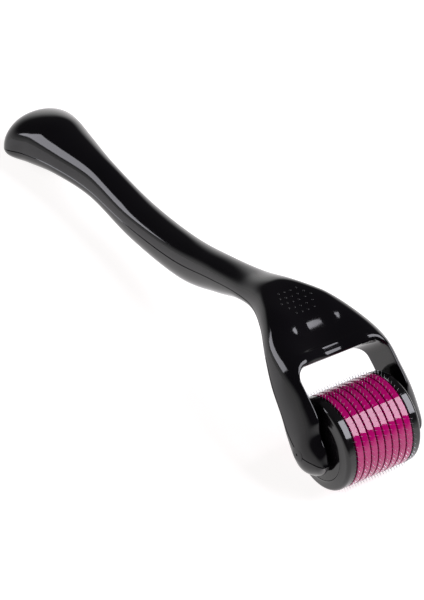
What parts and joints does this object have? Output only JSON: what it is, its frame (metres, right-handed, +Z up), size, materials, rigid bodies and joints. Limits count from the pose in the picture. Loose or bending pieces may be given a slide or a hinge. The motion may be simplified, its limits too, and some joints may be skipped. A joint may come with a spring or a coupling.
{
  "type": "derma roller",
  "caption": "Hand-held skin roller: a drum of needle discs and coloured spacer rings turns freely between the arms of a curved gloss handle.",
  "frame": {"origin": "on the table plane, straight below the middle of the drum's axle, where the lowest needles touch", "axes": "+X along the drum's axle, +Y from the drum to the free end of the grip, +Z up from the table"},
  "size_m": [0.0298, 0.1418, 0.0287],
  "materials": {
    "gloss_black_plastic": "polished moulded black ABS",
    "cap_black_plastic": "gloss moulded black plastic",
    "magenta_plastic": "gloss moulded magenta plastic",
    "needle_steel": "stamped medical stainless steel",
    "hub_plastic": "plain moulded acetal"
  },
  "bodies": {
    "handle": {"front_shell": "gloss_black_plastic", "back_shell": "gloss_black_plastic", "axle_pin": "needle_steel"},
    "drum": {"drum_hub": "hub_plastic", "left_end_cap": "cap_black_plastic", "right_end_cap": "cap_black_plastic", "needle_disc_1": "needle_steel", "needle_disc_2": "needle_steel", "needle_disc_3": "needle_steel", "needle_disc_4": "needle_steel", "needle_disc_5": "needle_steel", "needle_disc_6": "needle_steel", "needle_disc_7": "needle_steel", "needle_disc_8": "needle_steel", "needle_disc_9": "needle_steel", "spacer_1": "magenta_plastic", "spacer_2": "magenta_plastic", "spacer_3": "magenta_plastic", "spacer_4": "magenta_plastic", "spacer_5": "magenta_plastic", "spacer_6": "magenta_plastic", "spacer_7": "magenta_plastic", "spacer_8": "magenta_plastic"}
  },
  "joints": [
    {"name": "drum_spin", "type": "hinge", "parent": "handle", "child": "drum", "pos_m": [0, 0, 0.011], "axis": [1, 0, 0], "continuous": true}
  ]
}
